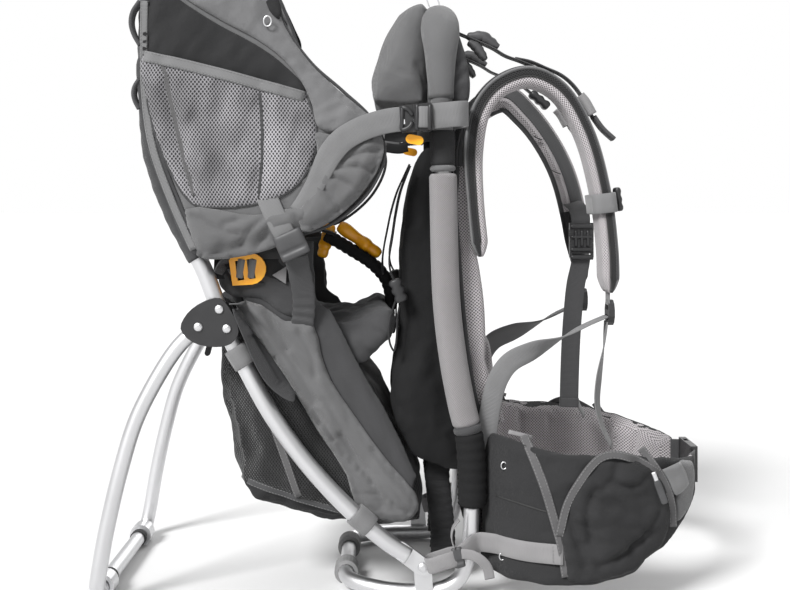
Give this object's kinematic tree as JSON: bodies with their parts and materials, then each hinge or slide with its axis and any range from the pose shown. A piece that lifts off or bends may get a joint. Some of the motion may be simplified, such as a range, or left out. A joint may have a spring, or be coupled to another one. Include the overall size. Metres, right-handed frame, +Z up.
{
  "type": "child carrier backpack",
  "caption": "Framed child carrier backpack with fabric cabin, folding kickstand, padded back system, shoulder straps and hip belt.",
  "frame": {"origin": "on the floor, at the middle of the whole object in plan", "axes": "+X towards the wearer, +Y to the wearer's left, +Z up"},
  "size_m": [0.7614, 0.38, 0.8281],
  "materials": {
    "tube_aluminium": "satin anodised tube",
    "rivet_steel": "domed, polished",
    "black_plastic": "fine moulded grain",
    "foot_rubber": "matte",
    "orange_plastic": "semi-gloss moulded",
    "grey_fabric": "coated plain weave",
    "dark_fabric": "coated plain weave",
    "black_fabric": "ripstop weave",
    "air_mesh": "spacer mesh",
    "sleeve_fabric": "ribbed knit"
  },
  "bodies": {
    "frame": {"rear_hoop": "tube_aluminium", "front_hoop": "tube_aluminium", "base_loop": "tube_aluminium", "pivot_rivet_right": "rivet_steel", "pivot_rivet_left": "rivet_steel", "hub_rivet_upper_right": "rivet_steel", "hub_rivet_upper_left": "rivet_steel", "hub_rivet_lower_right": "rivet_steel", "hub_rivet_lower_left": "rivet_steel", "base_rivet_right": "rivet_steel", "base_rivet_left": "rivet_steel", "hub_plate_outer_right": "black_plastic", "hub_plate_outer_left": "black_plastic", "hub_plate_inner_right": "black_plastic", "hub_plate_inner_left": "black_plastic", "entry_buckle_socket_right": "black_plastic", "entry_buckle_socket_left": "black_plastic", "sternum_socket": "black_plastic", "hip_buckle_socket": "black_plastic", "base_foot_right": "foot_rubber", "base_foot_left": "foot_rubber", "harness_buckle": "orange_plastic", "cabin_wing_right": "grey_fabric", "cabin_wing_left": "grey_fabric", "cabin_back": "grey_fabric", "chin_pad": "grey_fabric", "seat_side_right": "grey_fabric", "seat_side_left": "grey_fabric", "head_rest": "dark_fabric", "seat": "dark_fabric", "back_panel": "dark_fabric", "hip_fin_right": "dark_fabric", "hip_fin_left": "dark_fabric", "luggage_bag": "black_fabric", "back_pocket": "black_fabric", "child_harness": "black_fabric", "back_pad_right": "air_mesh", "back_pad_left": "air_mesh", "lumbar_pad": "air_mesh", "shoulder_strap_right": "air_mesh", "shoulder_strap_left": "air_mesh", "mesh_pocket_right": "air_mesh", "mesh_pocket_left": "air_mesh", "frame_sleeve_right": "sleeve_fabric", "frame_sleeve_left": "sleeve_fabric"},
    "kickstand": {"kickstand": "tube_aluminium", "kickstand_foot_right": "foot_rubber", "kickstand_foot_left": "foot_rubber"},
    "lock_lever_right": {"lock_lever_right": "foot_rubber"},
    "lock_lever_left": {"lock_lever_left": "foot_rubber"},
    "entry_tongue_right": {"entry_buckle_tongue_right": "black_plastic"},
    "entry_tongue_left": {"entry_buckle_tongue_left": "black_plastic"},
    "cabin_adjuster_right": {"cabin_adjuster_right": "orange_plastic"},
    "cabin_adjuster_left": {"cabin_adjuster_left": "orange_plastic"},
    "strap_adjuster_right": {"strap_adjuster_right": "black_plastic"},
    "strap_adjuster_left": {"strap_adjuster_left": "black_plastic"},
    "sternum_slider": {"sternum_slider_right": "black_plastic"},
    "sternum_tongue": {"sternum_tongue": "black_plastic"},
    "hip_tongue": {"hip_buckle_tongue": "black_plastic"},
    "zip_pull": {"zip_pull": "sleeve_fabric"}
  },
  "joints": [
    {"name": "kickstand_fold", "type": "hinge", "parent": "frame", "child": "kickstand", "pos_m": [-0.245, 0, 0.33], "axis": [0, -1, 0], "range_deg": [0, 44]},
    {"name": "lock_lever_right_press", "type": "hinge", "parent": "frame", "child": "lock_lever_right", "pos_m": [-0.234, -0.1055, 0.316], "axis": [0, -1, 0], "range_deg": [0, 25], "stiffness_Nm_per_rad": 0.02, "springref_deg": -5.73},
    {"name": "lock_lever_left_press", "type": "hinge", "parent": "frame", "child": "lock_lever_left", "pos_m": [-0.234, 0.1055, 0.316], "axis": [0, -1, 0], "range_deg": [0, 25], "stiffness_Nm_per_rad": 0.02, "springref_deg": -5.73},
    {"name": "entry_buckle_right_release", "type": "slide", "parent": "frame", "child": "entry_tongue_right", "axis": [-0.995, 0, -0.0995], "range_m": [0, 0.03]},
    {"name": "entry_buckle_left_release", "type": "slide", "parent": "frame", "child": "entry_tongue_left", "axis": [-0.995, 0, -0.0995], "range_m": [0, 0.03]},
    {"name": "cabin_adjuster_right_tilt", "type": "hinge", "parent": "frame", "child": "cabin_adjuster_right", "pos_m": [-0.209, -0.118, 0.397], "axis": [0, 0, -1], "range_deg": [0, 20]},
    {"name": "cabin_adjuster_left_tilt", "type": "hinge", "parent": "frame", "child": "cabin_adjuster_left", "pos_m": [-0.209, 0.118, 0.397], "axis": [0, 0, 1], "range_deg": [0, 20]},
    {"name": "strap_adjuster_right_tilt", "type": "hinge", "parent": "frame", "child": "strap_adjuster_right", "pos_m": [0.2535, -0.095, 0.357], "axis": [0, 1, 0], "range_deg": [0, 35]},
    {"name": "strap_adjuster_left_tilt", "type": "hinge", "parent": "frame", "child": "strap_adjuster_left", "pos_m": [0.2535, 0.095, 0.357], "axis": [0, 1, 0], "range_deg": [0, 35]},
    {"name": "sternum_slider_height", "type": "slide", "parent": "frame", "child": "sternum_slider", "axis": [-0.1224, 0, 0.9925], "range_m": [-0.02, 0.02]},
    {"name": "sternum_buckle_release", "type": "slide", "parent": "frame", "child": "sternum_tongue", "axis": [0, 0, -1], "range_m": [0, 0.03]},
    {"name": "hip_buckle_release", "type": "slide", "parent": "frame", "child": "hip_tongue", "axis": [0, -1, 0], "range_m": [0, 0.03]},
    {"name": "zip_pull_travel", "type": "slide", "parent": "frame", "child": "zip_pull", "axis": [-0.8387, -0.5446, 0], "range_m": [0, 0.04]}
  ]
}
